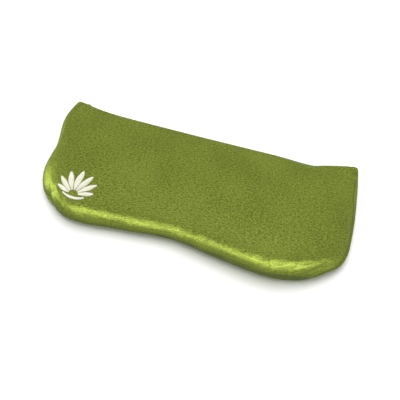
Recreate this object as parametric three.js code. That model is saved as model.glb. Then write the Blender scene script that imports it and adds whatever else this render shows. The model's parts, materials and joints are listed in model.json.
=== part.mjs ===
// A filled eye pillow: a satin pouch sewn from a top panel and a back panel, turned right side out,
// with an embroidered lotus near one corner and a muslin bag of seed inside.
// Millimetres, +Z up. The pillow lies on z = 0. X runs along its length and -Y is the side
// where the seed has settled. The seams are written from the middle of the outline.
import * as THREE from 'three';

// Overall form
const LENGTH = 224;            // across the two ends, as filled
const WIDTH = 101;             // across the two long edges, as filled
const HEIGHT = 25.5;           // of the top panel's crown above the table
const FLAT_MARGIN = 16;        // the underside lifts off the table this far from its seam

// Slump of the fill: rises as v^STEEP at the settled edge, falls as (1 - v)^GENTLE at the thin one
const STEEP = 0.28;
const GENTLE = 0.7;
const END_POWER = 7;           // how squarely the two ends are filled

// Cloth and thread
const SATIN = 0.6;             // satin with its fused interfacing
const MUSLIN = 0.5;
const ALLOWANCE = 6;           // seam allowance, turned to the inside
const FOLD = 1.6;              // height of the soft fold where a panel turns in
const SEAM_GAP = 1;            // between the two allowances, where the stitches run
const THREAD = 0.4;            // sewing thread diameter
const STITCH_INSET = 1.5;      // stitch line in from the fold
const CLEAR = 0.3;             // between neighbours
const OPENING = [0.2, 0.8];    // stretch of the right end that is sewn shut last

// Inner bag and seed
const BAG_INSET = 7;           // from the pouch's seam to the bag's own
const BAG_HALF_GAP = 1;        // half the height of its seam, which holds the stitches
const BAG_DROP = 2;            // its crown is this much lower than the pouch's
const BAG_FLOOR = 1;           // height of its underside above the table
const SEED_INSET = 9.5;
const SEED_HALF_GAP = 0.2;
const SEED_DROP = 3.3;
const SEED_FLOOR = 1.9;

// Lotus, in millimetres along and across the pouch, about MOTIF
const MOTIF = { x: -80, y: -24 };
const BASE_DROP = 8.6;         // from the motif's middle down to the point the petals fan out from
const PETALS = [
  // degrees from upright, reach from the fan point, width
  { name: 'center', turn: 0, reach: 19.5, width: 4 },
  { name: 'inner_left', turn: 26, reach: 18.5, width: 3.9 },
  { name: 'inner_right', turn: -26, reach: 18.5, width: 3.9 },
  { name: 'outer_left', turn: 52, reach: 17, width: 3.6 },
  { name: 'outer_right', turn: -52, reach: 17, width: 3.6 },
  { name: 'lower_left', turn: 77, reach: 14, width: 2.8 },
  { name: 'lower_right', turn: -77, reach: 14, width: 2.8 },
];
const PETAL_ROOT = 3.4;        // where a petal starts, from the fan point
const BLUNT = 0.35;            // half width of a petal's two tips
const EMBROIDERY = { edge: 0.4, crown: 0.7 };   // height of the satin stitch
const BASE_ARC = { radius: 20, half: 24, width: 1.6, drop: 2.7 };   // the curved line below the petals
const BACKING = { width: 31, height: 25, thickness: 0.3 };

// Grids: segments along and across
const PANEL_GRID = [32, 14];
const BAG_GRID = [20, 10];
const PETAL_GRID = [4, 8];
const BACKING_GRID = [6, 5];
const THREAD_SIDES = 6;
const PLAN_ROUNDS = 12;
const THREAD_STEP = 7;         // millimetres of seam per step

const COLOURS = {
  satin: { color: 0x7f8f3a, roughness: 0.38, metalness: 0 },
  embroidery: { color: 0xf3f3dc, roughness: 0.45, metalness: 0 },
  thread: { color: 0x6f7f33, roughness: 0.6, metalness: 0 },
  interfacing: { color: 0xf2f1ec, roughness: 0.9, metalness: 0 },
  muslin: { color: 0xe6dcc3, roughness: 0.9, metalness: 0 },
  seed: { color: 0x7a5230, roughness: 0.55, metalness: 0 },
};

// The seam line: four smooth edges, each through the few points that give it its bend. It stands
// higher above the table where the pillow is fuller, and at the far corners, which turn up.
const CORNERS = {
  nearLeft: [-103.5, -33.5, 6],
  nearRight: [91.5, -43.8, 8],
  farLeft: [-107.5, 52.3, 7],
  farRight: [106.5, 48.2, 9],
};

function seamEdge(from, between, to) {
  const points = [from, ...between, to].map((point) => new THREE.Vector3(...point));
  return new THREE.CatmullRomCurve3(points, false, 'centripetal');
}

const { nearLeft, nearRight, farLeft, farRight } = CORNERS;
const near = seamEdge(nearLeft, [[-82, -43.5, 5], [-44, -41.3, 6], [-8, -40, 7.5], [24, -45.4, 9.5],
  [60, -50, 10.5], [77, -48.2, 10]], nearRight);
const far = seamEdge(farLeft, [[-85, 48.8, 5.5], [-40, 46.7, 5], [10, 45.2, 5], [50, 44.2, 5],
  [75, 42.4, 6]], farRight);
const left = seamEdge(nearLeft, [[-110.8, -10, 6], [-109.5, 13, 5.5], [-111.8, 37, 6]], farLeft);
const right = seamEdge(nearRight, [[106.5, -32.5, 7.5], [110.8, -15, 7], [111, 4, 6.5],
  [109.5, 24, 7]], farRight);

// A Coons patch over the four edges: the point of the seam surface at (u, v) in the unit square.
function seamPoint(u, v) {
  const point = new THREE.Vector3();
  point.addScaledVector(near.getPointAt(u), 1 - v);
  point.addScaledVector(far.getPointAt(u), v);
  point.addScaledVector(left.getPointAt(v), 1 - u);
  point.addScaledVector(right.getPointAt(v), u);
  point.addScaledVector(near.getPointAt(0), -(1 - u) * (1 - v));
  point.addScaledVector(near.getPointAt(1), -u * (1 - v));
  point.addScaledVector(far.getPointAt(0), -(1 - u) * v);
  point.addScaledVector(far.getPointAt(1), -u * v);
  return point;
}

// 0 at the edges and 1 at the highest part of the fill.
function crownShape(u, v) {
  const peak = STEEP / (STEEP + GENTLE);
  const slump = (v ** STEEP * (1 - v) ** GENTLE) / (peak ** STEEP * (1 - peak) ** GENTLE);
  const ends = Math.sqrt(1 - Math.abs(2 * u - 1) ** END_POWER);
  return slump * ends;
}

// 0 at the edges and exactly 1 wherever the underside lies flat.
function flatShape(u, v) {
  const fromEnd = Math.min(u, 1 - u) * LENGTH;
  const fromSide = Math.min(v, 1 - v) * WIDTH;
  return THREE.MathUtils.smoothstep(fromEnd, 0, FLAT_MARGIN)
    * THREE.MathUtils.smoothstep(fromSide, 0, FLAT_MARGIN);
}

// (u, v) of a smaller outline, as (u, v) of the pouch.
function inset(u, v, distance) {
  const alongU = distance / LENGTH;
  const alongV = distance / WIDTH;
  return [alongU + u * (1 - 2 * alongU), alongV + v * (1 - 2 * alongV)];
}

// Top and underside of one layer. A layer is inset from the pouch's seam, its two edges stand
// halfGap above and below the seam surface, and its crown is lower than the pouch's by drop.
function layerTop(layer, u, v) {
  const point = seamPoint(...inset(u, v, layer.inset));
  point.z = THREE.MathUtils.lerp(point.z + layer.halfGap, HEIGHT - layer.drop, crownShape(u, v));
  return point;
}

function layerUnderside(layer, u, v) {
  const point = seamPoint(...inset(u, v, layer.inset));
  point.z = THREE.MathUtils.lerp(point.z - layer.halfGap, layer.floor, flatShape(u, v));
  return point;
}

const POUCH = { inset: 0, halfGap: SEAM_GAP / 2 + FOLD, drop: 0, floor: 0 };
const BAG = { inset: BAG_INSET, halfGap: BAG_HALF_GAP, drop: BAG_DROP, floor: BAG_FLOOR };
const SEED = { inset: SEED_INSET, halfGap: SEED_HALF_GAP, drop: SEED_DROP, floor: SEED_FLOOR };

// Rows sit closer together towards the edges, where the cloth turns down.
function crowd(t) {
  return (1 - Math.cos(Math.PI * t)) / 2;
}

// An open sheet of cols x rows cells, with place(s, t, column, row) giving each grid point.
function sheet(cols, rows, place) {
  const geometry = new THREE.PlaneGeometry(1, 1, cols, rows);
  const positions = geometry.attributes.position;
  for (let row = 0; row <= rows; row++) {
    for (let column = 0; column <= cols; column++) {
      const point = place(column / cols, 1 - row / rows, column, rows - row);
      positions.setXYZ(row * (cols + 1) + column, point.x, point.y, point.z);
    }
  }
  geometry.computeVertexNormals();
  return geometry;
}

// The grid's edge points, in order round the sheet, counterclockwise from above.
function border(cols, rows) {
  const at = (column, row) => row * (cols + 1) + column;
  const loop = [];
  for (let column = 0; column < cols; column++) loop.push(at(column, rows));
  for (let row = rows; row > 0; row--) loop.push(at(cols, row));
  for (let column = cols; column > 0; column--) loop.push(at(column, 0));
  for (let row = 0; row < rows; row++) loop.push(at(0, row));
  return loop;
}

// Joins an upper and a lower sheet of the same grid into one closed body.
function enclose(upper, lower, cols, rows) {
  const count = upper.attributes.position.count;
  const faces = [];
  const index = upper.index.array;
  for (let i = 0; i < index.length; i += 3) {
    faces.push(index[i], index[i + 1], index[i + 2]);
    faces.push(index[i] + count, index[i + 2] + count, index[i + 1] + count);
  }
  const loop = border(cols, rows);
  loop.forEach((here, i) => {
    const next = loop[(i + 1) % loop.length];
    faces.push(here, here + count, next + count);
    faces.push(here, next + count, next);
  });
  const body = new THREE.BufferGeometry();
  const positions = [...upper.attributes.position.array, ...lower.attributes.position.array];
  body.setAttribute('position', new THREE.Float32BufferAttribute(positions, 3));
  body.setIndex(faces);
  body.computeVertexNormals();
  return body;
}

// A copy of a sheet, moved along its own normals.
function offset(open, distance) {
  const moved = open.clone();
  const positions = moved.attributes.position;
  const normals = moved.attributes.normal;
  for (let i = 0; i < positions.count; i++) {
    positions.setXYZ(i,
      positions.getX(i) + normals.getX(i) * distance,
      positions.getY(i) + normals.getY(i) * distance,
      positions.getZ(i) + normals.getZ(i) * distance);
  }
  return moved;
}

// A pouch panel: its visible face, the fold at the seam, and the allowance turned in behind it.
// side is 1 for the top panel and -1 for the back panel.
function pouchPanel(side) {
  const [innerCols, innerRows] = PANEL_GRID;
  const RINGS = 2;             // the foot of the fold, and the raw edge of the allowance
  const cols = innerCols + 2 * RINGS;
  const rows = innerRows + 2 * RINGS;
  const place = (s, t, column, row) => {
    const outside = Math.max(RINGS - column, column - (cols - RINGS),
      RINGS - row, row - (rows - RINGS), 0);
    const margin = RINGS - outside;
    const u = crowd((column - margin) / (cols - 2 * margin));
    const v = crowd((row - margin) / (rows - 2 * margin));
    if (outside === 0) {
      return side > 0 ? layerTop(POUCH, u, v) : layerUnderside(POUCH, u, v);
    }
    const turnedIn = outside === 1 ? 0 : ALLOWANCE;
    const point = seamPoint(...inset(u, v, turnedIn));
    point.z += side * SEAM_GAP / 2;
    return point;
  };
  const face = sheet(cols, rows, place);
  return side > 0
    ? enclose(face, offset(face, -SATIN), cols, rows)
    : enclose(offset(face, SATIN), face, cols, rows);
}

function bagPanel(side) {
  const [cols, rows] = BAG_GRID;
  const surface = side > 0 ? layerTop : layerUnderside;
  const face = sheet(cols, rows, (s, t) => surface(BAG, crowd(s), crowd(t)));
  return side > 0
    ? enclose(face, offset(face, -MUSLIN), cols, rows)
    : enclose(offset(face, MUSLIN), face, cols, rows);
}

function seedFill() {
  const [cols, rows] = BAG_GRID;
  const upper = sheet(cols, rows, (s, t) => layerTop(SEED, crowd(s), crowd(t)));
  const lower = sheet(cols, rows, (s, t) => layerUnderside(SEED, crowd(s), crowd(t)));
  return enclose(upper, lower, cols, rows);
}

// The (u, v) whose seam point lies at (x, y) in plan. The patch is close to a plain rectangle,
// so correcting by what is left over settles in a few rounds.
function underPlan(x, y) {
  let u = 0.5 + x / LENGTH;
  let v = 0.5 + y / WIDTH;
  for (let round = 0; round < PLAN_ROUNDS; round++) {
    const found = seamPoint(u, v);
    u += (x - found.x) / LENGTH;
    v += (y - found.y) / WIDTH;
  }
  return [u, v];
}

// The point at height above the top panel, x along and y across from the motif's middle.
function onTop(x, y, height) {
  const [u, v] = underPlan(MOTIF.x + x, MOTIF.y + y);
  const step = 1e-3;
  const point = layerTop(POUCH, u, v);
  const alongU = layerTop(POUCH, u + step, v).sub(point);
  const alongV = layerTop(POUCH, u, v + step).sub(point);
  const normal = alongU.cross(alongV).normalize();
  return point.addScaledVector(normal, height);
}

// A satin-stitched shape: spine(t) gives its middle line and half width in the motif's plane.
// It is highest along the middle.
function stitchedShape(spine) {
  const [cols, rows] = PETAL_GRID;
  const place = (height) => (s, t) => {
    const across = 2 * s - 1;
    const { x, y, normalX, normalY, half } = spine(t);
    return onTop(x + normalX * half * across, y + normalY * half * across, height(across));
  };
  const upper = sheet(cols, rows, place((across) => CLEAR + EMBROIDERY.edge
    + EMBROIDERY.crown * (1 - across ** 2)));
  const lower = sheet(cols, rows, place(() => CLEAR));
  return enclose(upper, lower, cols, rows);
}

function petal({ turn, reach, width }) {
  const angle = THREE.MathUtils.degToRad(turn);
  const towards = { x: -Math.sin(angle), y: Math.cos(angle) };
  return stitchedShape((t) => {
    const from = THREE.MathUtils.lerp(PETAL_ROOT, reach, t);
    const swell = Math.sin(Math.PI * t ** 1.15);
    return {
      x: towards.x * from,
      y: towards.y * from - BASE_DROP,
      normalX: towards.y,
      normalY: -towards.x,
      half: BLUNT + (width / 2 - BLUNT) * swell,
    };
  });
}

function baseArc() {
  const halfAngle = THREE.MathUtils.degToRad(BASE_ARC.half);
  const centerY = BASE_ARC.radius - BASE_DROP - BASE_ARC.drop;
  return stitchedShape((t) => {
    const angle = THREE.MathUtils.lerp(halfAngle, -halfAngle, t);
    return {
      x: -Math.sin(angle) * BASE_ARC.radius,
      y: centerY - Math.cos(angle) * BASE_ARC.radius,
      normalX: -Math.sin(angle),
      normalY: -Math.cos(angle),
      half: BLUNT + (BASE_ARC.width / 2 - BLUNT) * Math.sin(Math.PI * t),
    };
  });
}

function embroideryBacking() {
  const [cols, rows] = BACKING_GRID;
  const place = (s, t) => onTop((s - 0.5) * BACKING.width, (t - 0.5) * BACKING.height,
    -SATIN - CLEAR);
  const face = sheet(cols, rows, place);
  return enclose(face, offset(face, -BACKING.thickness), cols, rows);
}

// A point of a stitch line that runs once round a seam: 0 to 1 is the near edge, 1 to 2 the
// right end, 2 to 3 the far edge and 3 to 4 the left end.
function roundSeam(distance, seamInset) {
  const side = Math.floor(distance) % 4;
  const t = distance - Math.floor(distance);
  const [u, v] = [[t, 0], [1, t], [1 - t, 1], [0, 1 - t]][side];
  return seamPoint(...inset(u, v, seamInset));
}

// Sewing thread along the stretch of seam from start to end, as roundSeam counts it.
function threadRun(start, end, seamInset) {
  const perimeter = 2 * (LENGTH + WIDTH);
  const steps = Math.ceil((end - start) / 4 * perimeter / THREAD_STEP);
  const points = [];
  for (let i = 0; i <= steps; i++) {
    points.push(roundSeam(start + (end - start) * i / steps, seamInset));
  }
  const path = new THREE.CatmullRomCurve3(points, false, 'centripetal');
  const section = new THREE.Shape();
  section.absarc(0, 0, THREAD / 2, 0, 2 * Math.PI);
  return new THREE.ExtrudeGeometry(section, {
    steps,
    curveSegments: THREAD_SIDES / 2,
    extrudePath: path,
  });
}

function material(kind) {
  return new THREE.MeshStandardMaterial(COLOURS[kind]);
}

function node(name, geometry, kind) {
  const mesh = new THREE.Mesh(geometry, material(kind));
  mesh.name = name;
  return mesh;
}

const RIGHT_END = 1;           // where the right end starts, as roundSeam counts
const ONCE_ROUND = 4;
const END_GAP = 0.02;          // between two lengths of thread, in the same measure

const pouch = new THREE.Group();
pouch.add(
  node('top_panel', pouchPanel(1), 'satin'),
  node('back_panel', pouchPanel(-1), 'satin'),
  node('seam_thread', threadRun(RIGHT_END + OPENING[1] + END_GAP,
    RIGHT_END + OPENING[0] - END_GAP + ONCE_ROUND, STITCH_INSET), 'thread'),
  node('closing_thread', threadRun(RIGHT_END + OPENING[0], RIGHT_END + OPENING[1],
    STITCH_INSET), 'thread'),
);

const lotus = new THREE.Group();
for (const leaf of PETALS) {
  lotus.add(node(`lotus_petal_${leaf.name}`, petal(leaf), 'embroidery'));
}
lotus.add(
  node('lotus_base_line', baseArc(), 'embroidery'),
  node('embroidery_backing', embroideryBacking(), 'interfacing'),
);

const filling = new THREE.Group();
filling.add(
  node('inner_bag_top', bagPanel(1), 'muslin'),
  node('inner_bag_bottom', bagPanel(-1), 'muslin'),
  node('inner_bag_thread', threadRun(END_GAP, ONCE_ROUND - END_GAP, BAG_INSET + CLEAR), 'thread'),
  node('seed_fill', seedFill(), 'seed'),
);

const eyePillow = new THREE.Group();
eyePillow.add(pouch, lotus, filling);

export default eyePillow;
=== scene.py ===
import json
import math

import bpy
import numpy as np
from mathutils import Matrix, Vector

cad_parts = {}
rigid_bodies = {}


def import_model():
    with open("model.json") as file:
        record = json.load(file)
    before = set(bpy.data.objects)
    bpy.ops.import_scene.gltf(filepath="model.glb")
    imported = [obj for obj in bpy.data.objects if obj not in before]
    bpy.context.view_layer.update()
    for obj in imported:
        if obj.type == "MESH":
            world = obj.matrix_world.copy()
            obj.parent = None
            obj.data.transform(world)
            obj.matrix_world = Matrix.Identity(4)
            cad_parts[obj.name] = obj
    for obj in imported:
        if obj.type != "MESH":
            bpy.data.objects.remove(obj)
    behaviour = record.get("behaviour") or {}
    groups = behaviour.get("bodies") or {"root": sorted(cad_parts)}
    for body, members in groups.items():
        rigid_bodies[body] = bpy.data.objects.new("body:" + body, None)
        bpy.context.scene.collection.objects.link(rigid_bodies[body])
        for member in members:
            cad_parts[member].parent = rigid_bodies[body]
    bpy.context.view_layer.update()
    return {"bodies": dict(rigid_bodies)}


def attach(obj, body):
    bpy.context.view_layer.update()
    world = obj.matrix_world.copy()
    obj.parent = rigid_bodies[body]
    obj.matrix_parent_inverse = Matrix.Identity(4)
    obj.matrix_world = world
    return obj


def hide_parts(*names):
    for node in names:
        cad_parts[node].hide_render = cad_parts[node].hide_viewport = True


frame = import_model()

# Lengths are in millimetres until new_mesh turns them into metres. The studio is in metres.
MM = 0.001
BODY, = frame["bodies"]       # nothing on the pillow moves, so it is all one body
RNG = np.random.default_rng(7)

# ---------------------------------------------------------------- the pouch
# Seam line, from the middle of the pillow: along, across, and height above the table.
SEAM_LINE = {
    "near": [(-100.8, -32.8, 6), (-82.3, -42.5, 5), (-44, -41.5, 6), (-8, -40, 7.5),
             (24, -45.4, 9.5), (60, -50, 10.5), (77, -47.4, 10), (90.5, -43.2, 8)],
    "far": [(-107.5, 52.3, 7), (-85, 48.8, 5.5), (-40, 46.7, 5), (10, 45.2, 5),
            (50, 44.2, 5), (68, 42.7, 5.5), (75, 42.4, 6), (82, 43.9, 7),
            (106.5, 48.2, 9)],
    "left": [(-100.8, -32.8, 6), (-106.2, -26.3, 6), (-111.4, -13, 6), (-110.4, 12, 5.5),
             (-112.6, 35, 6), (-107.5, 52.3, 7)],
    "right": [(90.5, -43.2, 8), (106.5, -31, 7.5), (110.3, -22, 7), (111, -13, 7), (111, 4, 6.5),
              (109.5, 24, 7), (106.5, 48.2, 9)],
}
SPAN_STEPS = 40               # drawn between two of these points
EDGE_STEPS = 400              # even steps along one edge
CUT = (229, 104)              # each panel laid flat, seam to seam
ALLOWANCE = 6                 # turned in all round
SATIN_THICK = 0.3
FOLD = 0.8                    # radius of the fold where a panel turns in
SEAM_GAP = 0.12               # half the gap between the two allowances
EAR_ROUND = 4                 # radius of the panels' corners
ROUND_REACH = 4               # a round corner fades out over this many radii
FLANGE = 2.2                  # the right end is stitched flat this far in from its edge

# The fill: a round wall on the settled side, a broad top, and a long fall to the thin side.
HEIGHT = 25.5                 # above the table, where it is fullest
PEAK = 0.16                   # share of the width where it is fullest
SQUARE = 2.2                  # how square the shoulder of the near wall is
FALL = 2.0                    # how broad the top is before it falls to the far edge
FALL_ROUND = 0.8              # how round it is at the far edge
END_POWER = (4.5, 8)          # how square the left and right ends are
LOBE = 0.2                    # how much lower the waist between the two lobes is
LOBE_AT = 0.78                # share of the length where the right lobe is fullest
LOBE_APART = 0.75             # share of the length from one lobe to the next
ROLL = 1.2                    # how far the near wall rolls out over its seam
END_ROLL = 0.3
FLAT_MARGIN = 15              # the underside curves up to the seam over this width
BELLY, BELLY_SEAM = 2, 10     # the underside bulges out this far, below a seam this high
WALL_STEPS, TOP_STEPS = 120, 150    # points drawn across the near wall, and across the rest
COLS, ROWS = 120, 56          # even steps along and across each panel
LUMP = 0.2                    # the seed pressing through the cloth
LUMP_MARGIN = 8               # the lumps fade out over this width along the seams
CREASES = (                   # from and to, on the flat panel from its near left corner; depth, width
    ((-10, 16), (18, -10), 1.0, 5.0),
    ((1, -2), (25, 24), 1.8, 2.0),
    ((213, 14), (217, 34), 0.5, 2.4),
)
PLEATS = {                    # small creases over the near wall, at random within these limits
    "count": 30, "lean": 9, "reach": (4, 34), "depth": (0.1, 0.55), "width": (1.4, 3.0),
}

# ---------------------------------------------------------------- what is in the pouch
BAG_INSET = 7                 # the muslin bag's seam, in from the pouch's
BAG_ALLOWANCE = 4
BAG_CUT = (CUT[0] - 2 * BAG_INSET, CUT[1] - 2 * BAG_INSET)
BAG_COLS, BAG_ROWS = 80, 40
BAG_ROUND = 14                # radius of its corners, which keep clear of the pouch's ears
BAG_FOLD = 0.4
BAG_GAP = 1.3                 # between the satin and the muslin
MUSLIN_THICK = 0.3
SEED_INSET = 4                # in from the bag's seam
SEED_GAP = 0.7                # between the muslin and the seed
SEED_PITCH = 2.9
SEED_SIZE = (2.3, 1.2, 0.55)  # half axes of one flax seed
SEED_TAPER = 0.25             # how much wider it gets towards its round end
SEED_SPREAD = (0.85, 1.1)     # smallest and largest, as shares of that size
SEED_JITTER = 0.4             # how far a seed lies off its place, as a share of the pitch
SEED_TILT = 0.25
SEED_MARGIN = 0.01            # no seed lies nearer the heap's rim than this share of its size
THREAD = 0.3                  # diameter of the sewing thread
STITCH = 2.6
STITCH_SPAN = (0.06, 0.94)    # the share of its length that each stitch fills
STITCH_LIFT = (-1.2, 0.5, 0.9, 1, 0.9, 0.5, -1.2)   # its height, in radii of the thread
RIM_STEPS = 1600              # along a row of stitches, before they are set out
STITCH_INSET = 1.3            # the stitches of a turned seam, in from its fold
OPENING = (0.2, 0.8)          # the stretch of the right end that was closed last

# ---------------------------------------------------------------- the embroidery
MOTIF = (-80, -24)            # its middle, along and across the pillow
BASE_DROP = 8.6
PETALS = {                    # degrees from upright, reach from the fan point, width
    "center": (0, 19.5, 4.0), "inner_left": (26, 18.5, 3.9), "inner_right": (-26, 18.5, 3.9),
    "outer_left": (52, 17, 3.6), "outer_right": (-52, 17, 3.6),
    "lower_left": (77, 14, 2.8), "lower_right": (-77, 14, 2.8),
}
PETAL_ROOT = 3.4
PETAL_TAPER = 1.15            # above 1, a petal is widest past its middle
BLUNT = 0.35                  # half width of a petal's tips
BASE_ARC = {"radius": 20, "half": 24, "width": 1.6, "drop": 2.7}
FLOSS = 0.42                  # embroidery thread, and the pitch of the satin stitch
FLOSS_RADIUS = 0.55 * FLOSS   # over half the pitch, as the threads press together
FLOSS_ACROSS = (-1, -0.98, -0.85, -0.55, -0.2, 0.2, 0.55, 0.85, 0.98, 1)    # points of one
FLOSS_SLANT = 0.35            # how far its ends lead and trail, as a share of its half length
FLOSS_JITTER = {"place": 0.12, "reach": 0.12, "height": 0.04}
PADDING = 0.75                # height of the stitch over the middle of a petal
PADDED_FROM = 1.5             # half width from which a shape has all that padding
BACKING = (31, 25)
BACKING_THICK = 0.2
BACKING_GAP = 0.25            # between the satin and the stabiliser
BACKING_COLS, BACKING_ROWS = 24, 20


# ---------------------------------------------------------------- lines and grids
def evenly(line, count):
    """A polyline resampled to count + 1 points at equal distances along it."""
    steps = np.linalg.norm(np.diff(line, axis=0), axis=1)
    along = np.concatenate([[0], np.cumsum(steps)])
    wanted = np.linspace(0, along[-1], count + 1)
    return np.stack([np.interp(wanted, along, line[:, k]) for k in range(3)], axis=1)


def smooth_line(points, count):
    """count + 1 points, evenly spaced, on a centripetal Catmull-Rom line through a few."""
    p = np.array(points, float)
    ends = np.vstack([2 * p[0] - p[1], p, 2 * p[-1] - p[-2]])
    spans = np.sqrt(np.linalg.norm(np.diff(ends, axis=0), axis=1))
    knots = np.concatenate([[0], np.cumsum(spans)])
    dense = [p[:1]]
    for i in range(1, len(ends) - 2):
        k0, k1, k2, k3 = knots[i - 1:i + 3]
        p0, p1, p2, p3 = ends[i - 1:i + 3]
        t = np.linspace(k1, k2, SPAN_STEPS + 1)[1:, None]
        a1 = ((k1 - t) * p0 + (t - k0) * p1) / (k1 - k0)
        a2 = ((k2 - t) * p1 + (t - k1) * p2) / (k2 - k1)
        a3 = ((k3 - t) * p2 + (t - k2) * p3) / (k3 - k2)
        b1 = ((k2 - t) * a1 + (t - k0) * a2) / (k2 - k0)
        b2 = ((k3 - t) * a2 + (t - k1) * a3) / (k3 - k1)
        dense.append(((k2 - t) * b1 + (t - k1) * b2) / (k2 - k1))
    return evenly(np.vstack(dense), count)


def at(line, t):
    """The points at shares t along an evenly spaced line."""
    steps = np.linspace(0, 1, len(line))
    return np.stack([np.interp(t, steps, line[:, k]) for k in range(3)], axis=1)


def sample(grid, u, v):
    """The points of a (rows + 1, cols + 1, 3) grid at shares u along and v across it."""
    rows, cols = grid.shape[0] - 1, grid.shape[1] - 1
    x, y = np.clip(u, 0, 1) * cols, np.clip(v, 0, 1) * rows
    i = np.minimum(x.astype(int), cols - 1)
    j = np.minimum(y.astype(int), rows - 1)
    fx, fy = (x - i)[..., None], (y - j)[..., None]
    low = grid[j, i] * (1 - fx) + grid[j, i + 1] * fx
    high = grid[j + 1, i] * (1 - fx) + grid[j + 1, i + 1] * fx
    return low * (1 - fy) + high * fy


def unit(vectors):
    return vectors / np.maximum(np.linalg.norm(vectors, axis=-1, keepdims=True), 1e-9)


def normals_of(grid):
    """Unit normals of a grid, upwards where it lies flat."""
    return unit(np.cross(np.gradient(grid, axis=1), np.gradient(grid, axis=0)))


def shares(cols, rows):
    """The shares u and v of each point of a grid."""
    return np.meshgrid(np.linspace(0, 1, cols + 1), np.linspace(0, 1, rows + 1))


def inset(u, v, distance, cut=CUT):
    """Shares u and v of an outline that is smaller by distance, as shares of the whole."""
    a, b = distance / cut[0], distance / cut[1]
    return a + u * (1 - 2 * a), b + v * (1 - 2 * b)


def soften(values):
    """Averages each inner point of a grid with its neighbours."""
    near = values[1:-1, :-2] + values[1:-1, 2:] + values[:-2, 1:-1] + values[2:, 1:-1]
    values[1:-1, 1:-1] = values[1:-1, 1:-1] / 2 + near / 8
    return values


# ---------------------------------------------------------------- the pouch before it settles
def coons(u, v):
    """The seam surface: a Coons patch over the seam's four edges, at shares u and v."""
    edges = {name: smooth_line(points, EDGE_STEPS) for name, points in SEAM_LINE.items()}
    near, far = at(edges["near"], u), at(edges["far"], u)
    left, right = at(edges["left"], v), at(edges["right"], v)
    u, v = u[None, :, None], v[:, None, None]
    across = (1 - v) * near[None] + v * far[None]
    along = (1 - u) * left[:, None] + u * right[:, None]
    corners = ((1 - u) * (1 - v) * near[0] + u * (1 - v) * near[-1]
               + (1 - u) * v * far[0] + u * v * far[-1])
    return across + along - corners


def from_edges(u, v, cut=CUT):
    """How far shares u and v lie from the nearer end and from the nearer side."""
    return (0.5 - abs(u - 0.5)) * cut[0], (0.5 - abs(v - 0.5)) * cut[1]


def rounded_corners(u, v, radius, cut=CUT):
    """Shares u and v, drawn in towards the middle so that the panel's corners are round."""
    from_end, from_side = from_edges(u, v, cut)

    def pull(along, across):
        return (radius * (1 - math.sqrt(0.5)) * np.clip(1 - along / radius, 0, 1) ** 2
                * np.clip(1 - across / (ROUND_REACH * radius), 0, 1))
    return (u + pull(from_side, from_end) * np.sign(0.5 - u) / cut[0],
            v + pull(from_end, from_side) * np.sign(0.5 - v) / cut[1])


def raised(seam, u, v):
    """The top panel over the seam surface: a round near wall, a broad top and a long fall."""
    climb = (1 - np.clip(1 - v / PEAK, 0, 1) ** SQUARE) ** (1 / SQUARE)
    past = np.clip((v - PEAK) / (1 - PEAK), 0, 1)
    rise = np.where(v < PEAK, climb, (1 - past ** FALL) ** FALL_ROUND)
    filled = np.clip(u / (1 - FLANGE / CUT[0]), 0, 1)
    power = np.where(u < 0.5, *END_POWER)
    ends = (1 - np.abs(2 * filled - 1) ** power) ** 0.5
    lobes = 1 + LOBE * (np.cos(2 * np.pi * (u - LOBE_AT) / LOBE_APART) - 1) / 2
    near_roll = ROLL * 4 * rise * (1 - rise) * (v < PEAK)
    end_roll = END_ROLL * 4 * ends * (1 - ends) * np.sign(u - 0.5)
    top = seam.copy()
    top[..., 2] += (HEIGHT * lobes[None, :] - seam[..., 2]) * rise[:, None] * ends[None, :]
    top[..., 1] -= near_roll[:, None] * ends[None, :]
    top[..., 0] += end_roll[None, :] * rise[:, None]
    return top


def underside(seam, u, v):
    """The back panel: flat on the table, curved up to the seam, and bulging out below it."""
    from_end = np.minimum(u, np.maximum(1 - u - FLANGE / CUT[0], 0))[None, :] * CUT[0]
    from_side = np.minimum(v, 1 - v)[:, None] * CUT[1]
    share_end = np.clip(from_end / FLAT_MARGIN, 0, 1)
    share_side = np.clip(from_side / FLAT_MARGIN, 0, 1)
    belly = BELLY * 4 * share_side * (1 - share_side) * share_end * seam[..., 2] / BELLY_SEAM
    share = np.minimum(share_end, share_side)
    back = seam.copy()
    back[..., 1] += belly * np.sign(v - 0.5)[:, None]
    back[..., 2] *= 1 - np.sqrt(1 - (1 - share) ** 2)
    return back


def regridded(surface, u, v):
    """A surface in evenly spaced rows and columns, at shares u and v of them."""
    columns = [evenly(surface[:, i], ROWS) for i in range(COLS + 1)]
    rows = [evenly(row, COLS) for row in np.stack(columns, axis=1)]
    return sample(np.stack(rows), u, v)


def start_shape():
    """Top and back of the filled pouch before the cloth settles, as two grids that share
    their rim."""
    climb = np.linspace(0, 1, WALL_STEPS)
    wall = PEAK * (1 - np.cos(np.pi / 2 * climb) ** (2 / SQUARE))
    v = np.concatenate([wall[:-1], np.linspace(PEAK, 1, TOP_STEPS)])
    u = np.linspace(0, 1, COLS + 1)
    seam = coons(u, v)
    where = rounded_corners(*shares(COLS, ROWS), EAR_ROUND)
    top = regridded(raised(seam, u, v), *where)
    back = regridded(underside(seam, u, v), *where)
    for edge in (np.s_[0], np.s_[-1], np.s_[:, 0], np.s_[:, -1]):
        top[edge] = back[edge] = (top[edge] + back[edge]) / 2
    return top, back


# ---------------------------------------------------------------- meshes
def rim_of(index):
    """The indices round a grid's rim, counterclockwise from above."""
    return np.concatenate([index[0, :-1], index[:-1, -1], index[-1, :0:-1], index[:0:-1, 0]])


def quads_of(index, flip=False):
    quads = np.stack([index[:-1, :-1], index[:-1, 1:], index[1:, 1:], index[1:, :-1]], -1)
    quads = quads.reshape(-1, 4)
    return quads[:, ::-1] if flip else quads


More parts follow.
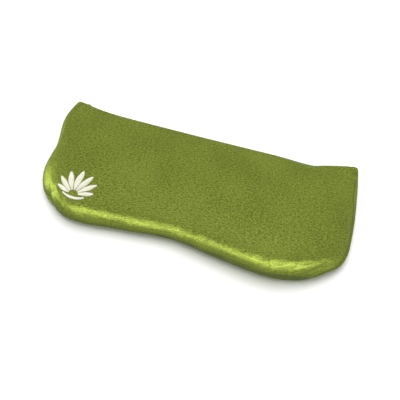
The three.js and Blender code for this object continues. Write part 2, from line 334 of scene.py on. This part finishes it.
def paired(grid):
    """Indices of the points of an upper and a lower grid that share their rim."""
    index = np.arange(grid[..., 0].size).reshape(grid.shape[:2])
    lower = index.copy()
    inner = lower[1:-1, 1:-1]
    inner[:] = index.size + np.arange(inner.size).reshape(inner.shape)
    return index, lower


def shell(upper, lower):
    """The points and faces of a closed body made of two grids that share their rim."""
    index, lower_index = paired(upper)
    points = np.vstack([upper.reshape(-1, 3), lower[1:-1, 1:-1].reshape(-1, 3)])
    return points, np.vstack([quads_of(index), quads_of(lower_index, True)])


def vertex_array(mesh, attribute="co"):
    values = np.empty(len(mesh.vertices) * 3)
    mesh.vertices.foreach_get(attribute, values)
    return values.reshape(-1, 3)


def new_object(name, data):
    obj = bpy.data.objects.new(name, data)
    bpy.context.scene.collection.objects.link(obj)
    return obj


def new_mesh(name, points, faces, unit_size=MM):
    mesh = bpy.data.meshes.new(name)
    mesh.from_pydata((np.asarray(points) * unit_size).tolist(), [], [list(map(int, f)) for f in faces])
    mesh.polygons.foreach_set("use_smooth", [True] * len(mesh.polygons))
    return mesh


def set_uv(mesh, name, uv):
    """A UV map that gives each vertex one place."""
    corners = np.empty(len(mesh.loops), int)
    mesh.loops.foreach_get("vertex_index", corners)
    mesh.uv_layers.new(name=name).data.foreach_set("uv", np.asarray(uv)[corners].ravel())


# ---------------------------------------------------------------- cloth simulation
SIM_SCALE = 0.01              # ten times life size, where Blender's cloth is steadier
FRAMES = 20
BED_INSET = 1.2
SLACK = 0.002                 # how much larger than its start the cloth is
CLOTH = {
    "quality": 6, "mass": 0.15, "tension_stiffness": 25, "compression_stiffness": 25,
    "shear_stiffness": 8, "bending_stiffness": 3, "tension_damping": 8,
    "compression_damping": 8, "shear_damping": 8, "bending_damping": 1, "air_damping": 2,
    "shrink_min": -SLACK, "shrink_max": -SLACK, "vertex_group_mass": "held",
    "use_pressure": True, "uniform_pressure_force": 0.3,
}
CLOTH_CLEARANCE = 0.01        # between the cloth and the seed, at ten times life size
BED = {"thickness_outer": 0.002, "thickness_inner": 0.05, "cloth_friction": 3, "damping": 0.5}


def apply_settings(target, settings):
    for name, value in settings.items():
        setattr(target, name, value)


def seed_bed(pouch):
    """The seed inside, which holds the cloth up: the pouch's own shape, a little smaller."""
    mesh = pouch.copy()
    points = vertex_array(mesh) - vertex_array(mesh, "normal") * BED_INSET * SIM_SCALE
    mesh.vertices.foreach_set("co", points.ravel())
    obj = new_object("seed_bed", mesh)
    obj.modifiers.new("collision", "COLLISION")
    apply_settings(obj.collision, BED)
    return obj


def settle(top, back):
    """Drapes the two panels over the seed, sewn together and held at the seam."""
    index, back_index = paired(top)
    mesh = new_mesh("pouch", *shell(top, back), SIM_SCALE)
    obj = new_object("pouch", mesh)
    flange = np.concatenate([index[:, -2], back_index[:, -2]])
    held = np.unique(np.concatenate([rim_of(index), flange]))
    obj.vertex_groups.new(name="held").add(held.tolist(), 1, "REPLACE")
    cloth = obj.modifiers.new("cloth", "CLOTH")
    apply_settings(cloth.settings, CLOTH)
    cloth.collision_settings.distance_min = CLOTH_CLEARANCE
    cloth.point_cache.frame_start = 1
    cloth.point_cache.frame_end = FRAMES
    bed = seed_bed(mesh)
    scene = bpy.context.scene
    for f in range(1, FRAMES + 1):
        scene.frame_set(f)
    evaluated = obj.evaluated_get(bpy.context.evaluated_depsgraph_get())
    settled = vertex_array(evaluated.data) / SIM_SCALE
    settled[:, 2] = np.maximum(settled[:, 2], 0)
    for used in (obj, bed):
        bpy.data.objects.remove(used)
    scene.frame_set(1)
    return settled[index], settled[back_index]


def press_seed(top, back):
    """The seed shows through the cloth as small lumps, away from the seams."""
    u, v = shares(COLS, ROWS)
    amount = LUMP * np.clip(np.minimum(*from_edges(u, v)) / LUMP_MARGIN, 0, 1)[..., None]
    for grid in (top, back):
        lumps = soften(RNG.normal(0, 1, u.shape))[..., None]
        grid += normals_of(grid) * lumps * amount
    back[..., 2] = np.maximum(back[..., 2], 0)


def pleats():
    """Small creases that slant both ways over the shoulder of the near wall."""
    count = PLEATS["count"]
    x = (np.arange(count) + RNG.uniform(0, 1, count)) * CUT[0] / count
    lean = RNG.uniform(-PLEATS["lean"], PLEATS["lean"], count)
    depth = RNG.uniform(*PLEATS["depth"], count)
    width = RNG.uniform(*PLEATS["width"], count)
    low, high = PLEATS["reach"]
    return [((a - b, low), (a + b, high), d, w) for a, b, d, w in zip(x, lean, depth, width)]


def fold_in(top, creases):
    """Presses creases into the top panel. Each runs between two points of the flat panel
    and is deepest in its middle."""
    u, v = shares(COLS, ROWS)
    x, y = u * CUT[0], v * CUT[1]
    for (x0, y0), (x1, y1), depth, width in creases:
        length = math.hypot(x1 - x0, y1 - y0)
        along = ((x - x0) * (x1 - x0) + (y - y0) * (y1 - y0)) / length ** 2
        aside = ((x - x0) * (y1 - y0) - (y - y0) * (x1 - x0)) / length
        taper = np.clip(1 - (2 * along - 1) ** 2, 0, 1)
        top -= normals_of(top) * (depth * taper * np.exp(-(aside / width) ** 2))[..., None]


# ---------------------------------------------------------------- sheets of cloth
def cloth_sheet(name, rings, cols, rows, cut, thickness, material, up=True):
    """A sheet made of a grid and, outside it, rings of points that follow its rim."""
    grid, outer = rings[0], rings[1:]
    index = np.arange(len(grid)).reshape(rows + 1, cols + 1)
    rim = rim_of(index)
    points, faces, start = [grid], [quads_of(index)], len(grid)
    for ring in outer:
        new_rim = start + np.arange(len(ring))
        faces.append(np.stack([np.roll(rim, -1), rim, new_rim, np.roll(new_rim, -1)], axis=1))
        points.append(ring)
        rim, start = new_rim, start + len(ring)
    faces = np.vstack(faces)
    if not up:
        faces = faces[:, ::-1]
    mesh = new_mesh(name, np.vstack(points), faces)
    set_uv(mesh, "cut", np.vstack(cut) * MM)
    mesh.materials.append(material)
    obj = new_object(name, mesh)
    smooth = obj.modifiers.new("smooth", "SUBSURF")
    smooth.levels = smooth.render_levels = 1
    thick = obj.modifiers.new("thickness", "SOLIDIFY")
    thick.thickness = thickness * MM
    thick.offset = -1
    return obj


def turned_panel(name, grid, middle, side, cut, allowance, fold, thickness, material):
    """A panel of a pouch that was sewn and turned: its face, the fold at the seam, and the
    allowance turned in behind it. side is 1 for the top and -1 for the back."""
    rows, cols = grid.shape[0] - 1, grid.shape[1] - 1
    u, v = (share.ravel() for share in shares(cols, rows))
    rim = rim_of(np.arange(len(u)).reshape(rows + 1, cols + 1))
    face = grid.reshape(-1, 3).copy()
    face[rim, 2] += side * (fold + SEAM_GAP)
    rings, flat = [face], [np.stack([u, v], axis=1) * cut]
    for distance in (fold, allowance):
        turned = sample(middle, *inset(u[rim], v[rim], distance, cut))
        turned[:, 2] += side * SEAM_GAP
        rings.append(turned)
        flat.append(np.stack(inset(u[rim], v[rim], -distance, cut), axis=1) * cut)
    return cloth_sheet(name, rings, cols, rows, flat, thickness, material, side > 0)


def nested(top, back, edge, gap):
    """The two sides of something that lies in the pouch, gap below its cloth, with a rim of
    its own halfway between the two panels and edge in from the pouch's seam."""
    u, v = shares(BAG_COLS, BAG_ROWS)
    where = inset(*rounded_corners(u, v, BAG_ROUND, BAG_CUT), edge)
    upper, lower = sample(top, *where), sample(back, *where)
    middle, half = (upper + lower) / 2, np.linalg.norm(upper - lower, axis=-1) / 2
    share = np.clip(np.minimum(*from_edges(u, v, BAG_CUT)) / FLAT_MARGIN, 0, 1)
    height = np.maximum(half - gap, 0) * np.sqrt(1 - (1 - share) ** 2)
    away = unit(upper - lower) * height[..., None]
    return middle + away, middle - away


# ---------------------------------------------------------------- threads
def tubes(name, paths, away, radius, material, sides=6):
    """A closed tube along each of several paths, all with the same number of points. Its UV
    map runs round it and back again, so that it shows no seam, and along it in millimetres."""
    count, steps = paths.shape[:2]
    tangent = unit(np.gradient(paths, axis=1))
    aside = unit(np.cross(tangent, away))
    outward = np.cross(aside, tangent)
    angle = np.linspace(0, 2 * np.pi, sides, endpoint=False)[None, None, :, None]
    ring = np.cos(angle) * aside[:, :, None] + np.sin(angle) * outward[:, :, None]
    points = paths[:, :, None] + radius * ring
    index = np.arange(count * steps * sides).reshape(count, steps, sides)
    after = np.roll(index, -1, axis=2)
    walls = np.stack([index[:, :-1], index[:, 1:], after[:, 1:], after[:, :-1]], -1).reshape(-1, 4)
    caps = [*index[:, 0].tolist(), *index[:, -1, ::-1].tolist()]
    mesh = new_mesh(name, points.reshape(-1, 3), [*walls, *caps])
    lengths = np.linalg.norm(np.diff(paths, axis=1), axis=2).cumsum(axis=1)
    along = np.concatenate([np.zeros((count, 1)), lengths], axis=1)[:, :, None]
    round_about = np.linspace(0, 2, sides, endpoint=False)[None, None, :]
    uv = np.stack(np.broadcast_arrays(np.abs(round_about - 1), along), axis=-1).reshape(-1, 2)
    set_uv(mesh, "thread", uv)
    mesh.materials.append(material)
    return new_object(name, mesh)


def stitch_line(surface, u, v, height, side):
    """The paths and normals of one row of stitches along shares u and v of a grid."""
    line = sample(surface, u, v)
    normal = sample(normals_of(surface) * side, u, v)
    length = np.linalg.norm(np.diff(line, axis=0), axis=1).sum()
    count = max(2, round(length / STITCH))
    along = np.linspace(0, 1, len(line))
    stitch = np.linspace(*STITCH_SPAN, len(STITCH_LIFT))
    steps = (np.arange(count)[:, None] + stitch[None, :]) / count
    lift = np.array(STITCH_LIFT) * THREAD / 2 + height

    def pick(values):
        return np.stack([np.interp(steps, along, values[:, k]) for k in range(3)], axis=-1)
    normal = unit(pick(normal))
    return pick(line) + normal * lift[None, :, None], normal


def round_rim(distance, start, end, cut=CUT):
    """Shares u and v along the seam from start to end: 0 to 1 is the near edge, 1 to 2 the
    right end, 2 to 3 the far edge and 3 to 4 the left end."""
    where = np.linspace(start, end, RIM_STEPS)
    side, t = np.floor(where) % 4, where % 1
    sides = [side == k for k in range(4)]
    u = np.select(sides, [t, 1 + 0 * t, 1 - t, 0 * t])
    v = np.select(sides, [0 * t, t, 1 + 0 * t, 1 - t])
    return inset(u, v, distance, cut)


def sewn(name, rows, material):
    """Stitches along several rows, each the result of stitch_line."""
    paths = np.concatenate([row[0] for row in rows])
    away = np.concatenate([row[1] for row in rows])
    return tubes(name, paths, away, THREAD / 2, material)


# ---------------------------------------------------------------- embroidery
def motif_frame(top):
    """Where the motif's middle lies on the top panel, and the panel's length and width there."""
    plan = np.hypot(top[..., 0] - MOTIF[0], top[..., 1] - MOTIF[1])
    j, i = np.unravel_index(np.argmin(plan), plan.shape)
    length = np.linalg.norm(np.diff(top[j], axis=0), axis=1).sum()
    width = np.linalg.norm(np.diff(top[:, i], axis=0), axis=1).sum()
    return i / COLS, j / ROWS, length, width


def on_top(top, x, y, height):
    """Points at height above the top panel, x along and y across it from the motif's middle."""
    u0, v0, length, width = motif_frame(top)
    u, v = u0 + x / length, v0 + y / width
    normal = unit(sample(normals_of(top), u, v))
    return sample(top, u, v) + normal * height[..., None], normal


def satin_stitch(name, top, spine, length, material):
    """A shape filled with threads side by side. spine gives its middle line, the direction
    across it, and its half width."""
    count = round(length / FLOSS)
    jitter = FLOSS_JITTER["place"]
    t = (np.arange(count) + 0.5 + RNG.uniform(-jitter, jitter, count)) / count
    x, y, across_x, across_y, half = spine(t)
    slant = FLOSS_SLANT * half
    along_x, along_y = -across_y, across_x
    s = np.array(FLOSS_ACROSS)
    reach = half + RNG.uniform(0, FLOSS_JITTER["reach"], count)
    px = x[:, None] + (across_x * reach)[:, None] * s + (along_x * slant)[:, None] * s
    py = y[:, None] + (across_y * reach)[:, None] * s + (along_y * slant)[:, None] * s
    padded = np.minimum(half / PADDED_FROM, 1)[:, None]
    height = FLOSS / 2 + PADDING * (1 - s ** 2) * padded
    jitter = FLOSS_JITTER["height"]
    height = height + RNG.uniform(-jitter, jitter, count)[:, None]
    height[:, [0, -1]] = -FLOSS    # the ends go down through the cloth
    paths, normal = on_top(top, px, py, height)
    return tubes(name, paths, normal, FLOSS_RADIUS, material)


def petal(top, name, turn, reach, width, material):
    angle = math.radians(turn)
    towards = (-math.sin(angle), math.cos(angle))

    def spine(t):
        start = PETAL_ROOT + (reach - PETAL_ROOT) * t
        half = BLUNT + (width / 2 - BLUNT) * np.sin(np.pi * t ** PETAL_TAPER)
        one = np.ones_like(t)
        return (towards[0] * start, towards[1] * start - BASE_DROP, towards[1] * one,
                -towards[0] * one, half)
    return satin_stitch(name, top, spine, reach - PETAL_ROOT, material)


def base_line(top, name, material):
    half_angle = math.radians(BASE_ARC["half"])
    radius = BASE_ARC["radius"]
    center_y = radius - BASE_DROP - BASE_ARC["drop"]

    def spine(t):
        angle = half_angle * (1 - 2 * t)
        half = BLUNT + (BASE_ARC["width"] / 2 - BLUNT) * np.sin(np.pi * t)
        return (-np.sin(angle) * radius, center_y - np.cos(angle) * radius, -np.sin(angle),
                -np.cos(angle), half)
    return satin_stitch(name, top, spine, 2 * half_angle * radius, material)


def backing_sheet(top, material):
    """The stabiliser behind the embroidery, under the top panel."""
    u, v = shares(BACKING_COLS, BACKING_ROWS)
    x, y = (u - 0.5) * BACKING[0], (v - 0.5) * BACKING[1]
    points, _ = on_top(top, x, y, np.full(x.shape, -SATIN_THICK - BACKING_GAP))
    cut = np.stack([x.ravel(), y.ravel()], axis=1)
    return cloth_sheet("embroidery_stabiliser", [points.reshape(-1, 3)], BACKING_COLS,
                       BACKING_ROWS, [cut], BACKING_THICK, material)


# ---------------------------------------------------------------- seed
def scattered(grid, other, side):
    """Places and normals for single seeds, about a seed apart, over one side of the heap,
    where the heap is thick enough to hold them."""
    along, across = round(BAG_CUT[0] / SEED_PITCH), round(BAG_CUT[1] / SEED_PITCH)
    u, v = (share.ravel() for share in shares(along, across))
    u = u + RNG.uniform(-SEED_JITTER, SEED_JITTER, u.size) / along
    v = v + RNG.uniform(-SEED_JITTER, SEED_JITTER, v.size) / across
    u, v = (np.clip(share, SEED_MARGIN, 1 - SEED_MARGIN) for share in (u, v))
    thick = np.linalg.norm(sample(grid, u, v) - sample(other, u, v), axis=-1) > SEED_SIZE[0]
    u, v = u[thick], v[thick]
    normal = unit(sample(normals_of(grid) * side, u, v))
    return sample(grid, u, v) + normal * SEED_SIZE[2], normal


def seed_heap(top, back, material):
    """The seed as one body whose surface is single seeds, lying as they pack against muslin."""
    gap = BAG_GAP + MUSLIN_THICK + SEED_GAP + 2 * SEED_SIZE[2]
    upper, lower = nested(top, back, BAG_INSET + SEED_INSET, gap)
    points, faces = shell(upper, lower)
    places = [scattered(upper, lower, 1), scattered(lower, upper, -1)]
    centers = np.concatenate([place[0] for place in places])
    normal = np.concatenate([place[1] for place in places])
    shape, shape_faces = seed_shape()
    tilt = unit(normal + RNG.normal(0, SEED_TILT, normal.shape))
    ahead = unit(np.cross(tilt, RNG.normal(0, 1, normal.shape)))
    turn = np.stack([ahead, np.cross(tilt, ahead), tilt], axis=1)
    size = RNG.uniform(*SEED_SPREAD, (len(centers), 1, 1))
    seeds = centers[:, None] + size * (shape[None] @ turn)
    offsets = len(points) + np.arange(len(centers))[:, None, None] * len(shape)
    all_faces = np.vstack([faces, (shape_faces[None] + offsets).reshape(-1, 4)])
    mesh = new_mesh("flax_seed", np.vstack([points, seeds.reshape(-1, 3)]), all_faces)
    mesh.materials.append(material)
    return new_object("flax_seed", mesh)


def seed_shape():
    """A flax seed: a flat drop, rounder at one end, as a cube swollen to an ellipsoid."""
    steps = (-1, 0, 1)
    cube = np.array([[x, y, z] for z in steps for y in steps for x in steps], float)
    outer = [k for k, point in enumerate(cube) if np.abs(point).max() == 1]
    number = {k: n for n, k in enumerate(outer)}
    faces = []
    for axis in range(3):
        for side in (-1, 1):
            patch = np.array([k for k in outer if cube[k, axis] == side]).reshape(3, 3)
            flip = (side < 0) != (axis == 1)
            for quad in quads_of(patch, flip):
                faces.append([number[k] for k in quad])
    points = unit(cube[outer]) * SEED_SIZE
    points[:, 1] *= 1 - SEED_TAPER * points[:, 0] / SEED_SIZE[0]
    return points, np.array(faces)


# ---------------------------------------------------------------- materials
WAVE = 6.28                   # brings a wave texture to one wave for every two threads


class Nodes:
    """A material's nodes. Inputs are named with _ for a space, or _0, _1 for their number."""

    def __init__(self, name):
        self.material = bpy.data.materials.new(name)
        self.material.use_nodes = True
        self.tree = self.material.node_tree
        self.shader = self.tree.nodes["Principled BSDF"]

    def make(self, kind, settings=None, **inputs):
        node = self.tree.nodes.new("ShaderNode" + kind)
        for key, value in (settings or {}).items():
            setattr(node, key, value)
        self.fill(node, inputs)
        return node.outputs

    def fill(self, node, inputs):
        for key, value in inputs.items():
            socket = node.inputs[int(key[1:]) if key[0] == "_" else key.replace("_", " ")]
            if isinstance(value, bpy.types.NodeSocket):
                self.tree.links.new(value, socket)
            else:
                socket.default_value = value

    def uv(self, name):
        return self.make("UVMap", {"uv_map": name})["UV"]

    def noise(self, where, scale, detail=2.0, stretch=(1, 1, 1)):
        place = self.make("Mapping", Vector=where, Scale=stretch)["Vector"]
        return self.make("TexNoise", Vector=place, Scale=scale, Detail=detail)["Fac"]

    def math(self, operation, *values):
        return self.make("Math", {"operation": operation},
                         **{f"_{k}": value for k, value in enumerate(values)})[0]

    def colours(self, factor, *stops):
        """A colour ramp with stops of (position, (r, g, b))."""
        ramp = self.tree.nodes.new("ShaderNodeValToRGB")
        self.tree.links.new(factor, ramp.inputs["Fac"])
        elements = ramp.color_ramp.elements
        while len(elements) < len(stops):
            elements.new(0.5)
        for element, (position, colour) in zip(elements, stops):
            element.position = position
            element.color = (*colour, 1)
        return ramp.outputs["Color"]

    def bump(self, height, depth, strength=1.0):
        return self.make("Bump", Strength=strength, Distance=depth * MM, Height=height)["Normal"]

    def shade(self, **inputs):
        self.fill(self.shader, inputs)
        return self.material


def satin():
    """Olive satin: slubs along the weft, the flecks of the weave and slow clouds of tone."""
    n = Nodes("satin")
    cut = n.uv("cut")
    slub = n.noise(cut, 1.0, detail=3.0, stretch=(450, 1400, 1))
    fleck = n.noise(cut, 900.0)
    cloud = n.noise(cut, 30.0)
    tone = n.math("MULTIPLY_ADD", slub, 0.55, n.math("MULTIPLY", fleck, 0.6))
    tone = n.math("MULTIPLY_ADD", cloud, 0.15, tone)
    colour = n.colours(tone, (0.505, (0.093, 0.118, 0.017)), (0.785, (0.254, 0.315, 0.05)))
    rough = n.make("MapRange", Value=slub, To_Min=0.26, To_Max=0.44)[0]
    bump = n.bump(n.math("MULTIPLY_ADD", fleck, 0.5, slub), depth=0.35, strength=0.6)
    tangent = n.make("Tangent", {"direction_type": "UV_MAP", "uv_map": "cut"})[0]
    return n.shade(Base_Color=colour, Roughness=rough, Metallic=0.55, Normal=bump,
                   Anisotropic=0.45, Tangent=tangent, Specular_IOR_Level=0.1,
                   Specular_Tint=(0.15, 0.18, 0.08, 1), Sheen_Weight=0.08, Sheen_Roughness=0.4,
                   Sheen_Tint=(0.75, 0.9, 0.4, 1))


def thread(name, dark, light, roughness):
    """Spun thread, with the slant of its ply as bump."""
    n = Nodes(name)
    where = n.uv("thread")
    slant = n.make("Mapping", Vector=where, Rotation=(0, 0, math.radians(35)))["Vector"]
    ply = n.make("TexWave", {"bands_direction": "Y"}, Vector=slant, Scale=1.2, Distortion=0.3)["Fac"]
    fuzz = n.noise(where, 6.0, detail=3.0)
    colour = n.colours(n.math("MULTIPLY_ADD", ply, 0.5, n.math("MULTIPLY", fuzz, 0.5)),
                       (0.2, dark), (0.8, light))
    rough = n.make("MapRange", Value=fuzz, To_Min=roughness - 0.08, To_Max=roughness + 0.08)[0]
    return n.shade(Base_Color=colour, Roughness=rough, Normal=n.bump(ply, depth=0.05),
                   Sheen_Weight=0.3)


def woven(name, dark, light, pitch):
    """Plain weave: threads that pass over and under each other."""
    n = Nodes(name)
    cut = n.uv("cut")
    scale = 1 / (pitch * MM) / WAVE
    warp, weft = (n.make("TexWave", {"bands_direction": axis}, Vector=cut, Scale=scale,
                         Distortion=0.4)["Fac"] for axis in "XY")
    slub = n.noise(cut, 1.0, detail=3.0, stretch=(150, 900, 1))
    over = n.math("MULTIPLY", warp, weft)
    colour = n.colours(n.math("MULTIPLY_ADD", over, 0.5, n.math("MULTIPLY", slub, 0.5)),
                       (0.15, dark), (0.7, light))
    rough = n.make("MapRange", Value=slub, To_Min=0.8, To_Max=0.95)[0]
    return n.shade(Base_Color=colour, Roughness=rough, Normal=n.bump(over, depth=0.15))


def nonwoven():
    """Stabiliser: matted fibres with the spots that bond them."""
    n = Nodes("nonwoven")
    cut = n.uv("cut")
    fibres = n.noise(cut, 600.0, detail=4.0, stretch=(1, 3, 1))
    spots = n.make("TexVoronoi", Vector=cut, Scale=900.0)["Distance"]
    tone = n.math("MULTIPLY_ADD", spots, 0.4, fibres)
    colour = n.colours(tone, (0.3, (0.62, 0.62, 0.58)), (0.8, (0.88, 0.87, 0.84)))
    rough = n.make("MapRange", Value=fibres, To_Min=0.8, To_Max=0.95)[0]
    return n.shade(Base_Color=colour, Roughness=rough, Normal=n.bump(tone, depth=0.1))


def flax():
    """Flax seed, from dark to light brown from one seed to the next, with a fine speckle."""
    n = Nodes("flax")
    where = n.make("TexCoord")["Object"]
    seed = n.noise(where, 260.0, detail=1.0)
    speck = n.noise(where, 2500.0, detail=3.0)
    tone = n.math("MULTIPLY_ADD", speck, 0.25, seed)
    colour = n.colours(tone, (0.4, (0.09, 0.035, 0.012)), (0.62, (0.2, 0.085, 0.03)),
                       (0.85, (0.34, 0.19, 0.08)))
    rough = n.make("MapRange", Value=speck, To_Min=0.25, To_Max=0.42)[0]
    return n.shade(Base_Color=colour, Roughness=rough, Normal=n.bump(speck, depth=0.04))


# ---------------------------------------------------------------- studio
VIEW_AZIMUTH, VIEW_ELEVATION = 15, 62
CAMERA_DISTANCE = 0.491
LENS, SENSOR = 63, 36
AIM = (0.0016, -0.0009, 0.010)
AIM_DROP = 0.0063             # the pillow sits a little above the middle of the picture
FLOOR_HALF = 3
WORLD = 0.5
LIGHTS = {                    # place, size, power, and whether it lights gloss or matt shading
    "front": ((0.15, -1.0, 0.41), (2.2, 0.28), 22, "gloss"),
    "left": ((-1.0, -0.1, 0.15), (0.9, 0.12), 10, "gloss"),
    "right": ((0.9, -0.85, 0.5), (0.5, 0.3), 6, "gloss"),
    "top": ((0.0, 0.3, 1.3), (1.2, 1.2), 25, "matt"),
}


def camera():
    data = bpy.data.cameras.new("camera")
    data.lens, data.sensor_width = LENS, SENSOR
    obj = new_object("camera", data)
    azimuth, elevation = math.radians(VIEW_AZIMUTH), math.radians(VIEW_ELEVATION)
    back = Vector((math.sin(azimuth) * math.cos(elevation),
                   -math.cos(azimuth) * math.cos(elevation), math.sin(elevation)))
    turn = (-back).to_track_quat("-Z", "Y")
    obj.location = Vector(AIM) - turn @ Vector((0, AIM_DROP, 0)) + back * CAMERA_DISTANCE
    obj.rotation_mode = "QUATERNION"
    obj.rotation_quaternion = turn
    bpy.context.scene.camera = obj


def floor():
    r = FLOOR_HALF
    mesh = new_mesh("floor", [(-r, -r, 0), (r, -r, 0), (r, r, 0), (-r, r, 0)], [(0, 1, 2, 3)], 1)
    n = Nodes("floor")
    mesh.materials.append(n.shade(Base_Color=(0.8, 0.8, 0.8, 1), Roughness=0.9))
    obj = new_object("floor", mesh)
    obj.visible_diffuse = False    # the pillow mirrors it, but isn't lit from below


def softbox(name, location, size, power, lit):
    """An area light aimed at the pillow, which lights only its gloss or its matt shading."""
    data = bpy.data.lights.new(name, "AREA")
    data.shape = "RECTANGLE"
    data.size, data.size_y = size
    data.energy = power
    obj = new_object(name, data)
    obj.location = location
    obj.rotation_mode = "QUATERNION"
    obj.rotation_quaternion = (-Vector(location)).to_track_quat("-Z", "Y")
    obj.visible_glossy = lit == "gloss"
    obj.visible_diffuse = lit == "matt"


def lights():
    world = bpy.data.worlds.new("studio")
    world.use_nodes = True
    background = world.node_tree.nodes["Background"]
    background.inputs["Color"].default_value = (1, 1, 1, 1)
    background.inputs["Strength"].default_value = WORLD
    bpy.context.scene.world = world
    bpy.context.scene.view_settings.view_transform = "Standard"
    for name, light in LIGHTS.items():
        softbox(name, *light)


# ---------------------------------------------------------------- the whole pillow
def piece(obj, slot, *nodes):
    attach(obj, BODY)
    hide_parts(*nodes)
    return obj


def make_covers(top, back):
    cloth = satin()
    middle = (top + back) / 2
    for name, grid, side in (("top", top, 1), ("back", back, -1)):
        panel = turned_panel(f"{name}_cover", grid, middle, side, CUT, ALLOWANCE, FOLD,
                             SATIN_THICK, cloth)
        piece(panel, "satin", f"{name}_panel")


def make_embroidery(top):
    cream = thread("cream_floss", (0.60, 0.59, 0.45), (0.84, 0.84, 0.70), 0.38)
    for name, (turn, reach, width) in PETALS.items():
        shape = petal(top, f"stitched_petal_{name}", turn, reach, width, cream)
        piece(shape, "embroidery_thread", f"lotus_petal_{name}")
    piece(base_line(top, "stitched_base_line", cream), "embroidery_thread", "lotus_base_line")
    sheet = piece(backing_sheet(top, nonwoven()), "backing", "embroidery_backing")


def hidden_stitches(name, middle, line, thickness, material):
    """The lockstitch of a turned seam, on the two outer faces of its allowances."""
    height = SEAM_GAP + thickness
    return sewn(name, [stitch_line(middle, *line, height, side) for side in (1, -1)], material)


def make_stitches(top, back):
    green = thread("green_thread", (0.07, 0.10, 0.015), (0.16, 0.21, 0.035), 0.55)
    start, end = (1 + share for share in OPENING)    # the right end runs from 1 to 2
    line = round_rim(STITCH_INSET, end, start + 4)
    seam = hidden_stitches("seam_stitches", (top + back) / 2, line, SATIN_THICK, green)
    piece(seam, "sewing_thread", "seam_thread")
    shut = round_rim(FLANGE, start, end)
    rows = [stitch_line(top, *shut, 0, 1), stitch_line(back, *shut, 0, -1)]
    piece(sewn("closing_stitches", rows, green), "sewing_thread", "closing_thread")


def make_bag(top, back):
    muslin = woven("muslin", (0.58, 0.50, 0.36), (0.84, 0.77, 0.62), 0.55)
    ecru = thread("ecru_thread", (0.66, 0.60, 0.46), (0.86, 0.80, 0.66), 0.6)
    upper, lower = nested(top, back, BAG_INSET, BAG_GAP)
    middle = (upper + lower) / 2
    for name, grid, side in (("top", upper, 1), ("bottom", lower, -1)):
        panel = turned_panel(f"muslin_{name}", grid, middle, side, BAG_CUT, BAG_ALLOWANCE,
                             BAG_FOLD, MUSLIN_THICK, muslin)
        piece(panel, "muslin", f"inner_bag_{name}")
    line = round_rim(STITCH_INSET, 0, 4, BAG_CUT)
    seam = hidden_stitches("bag_stitches", middle, line, MUSLIN_THICK, ecru)
    piece(seam, "muslin_thread", "inner_bag_thread")
    piece(seed_heap(top, back, flax()), "seed", "seed_fill")


camera()
floor()
lights()
top, back = start_shape()
top, back = settle(top, back)
fold_in(top, [*CREASES, *pleats()])
press_seed(top, back)
make_covers(top, back)
make_embroidery(top)
make_stitches(top, back)
make_bag(top, back)
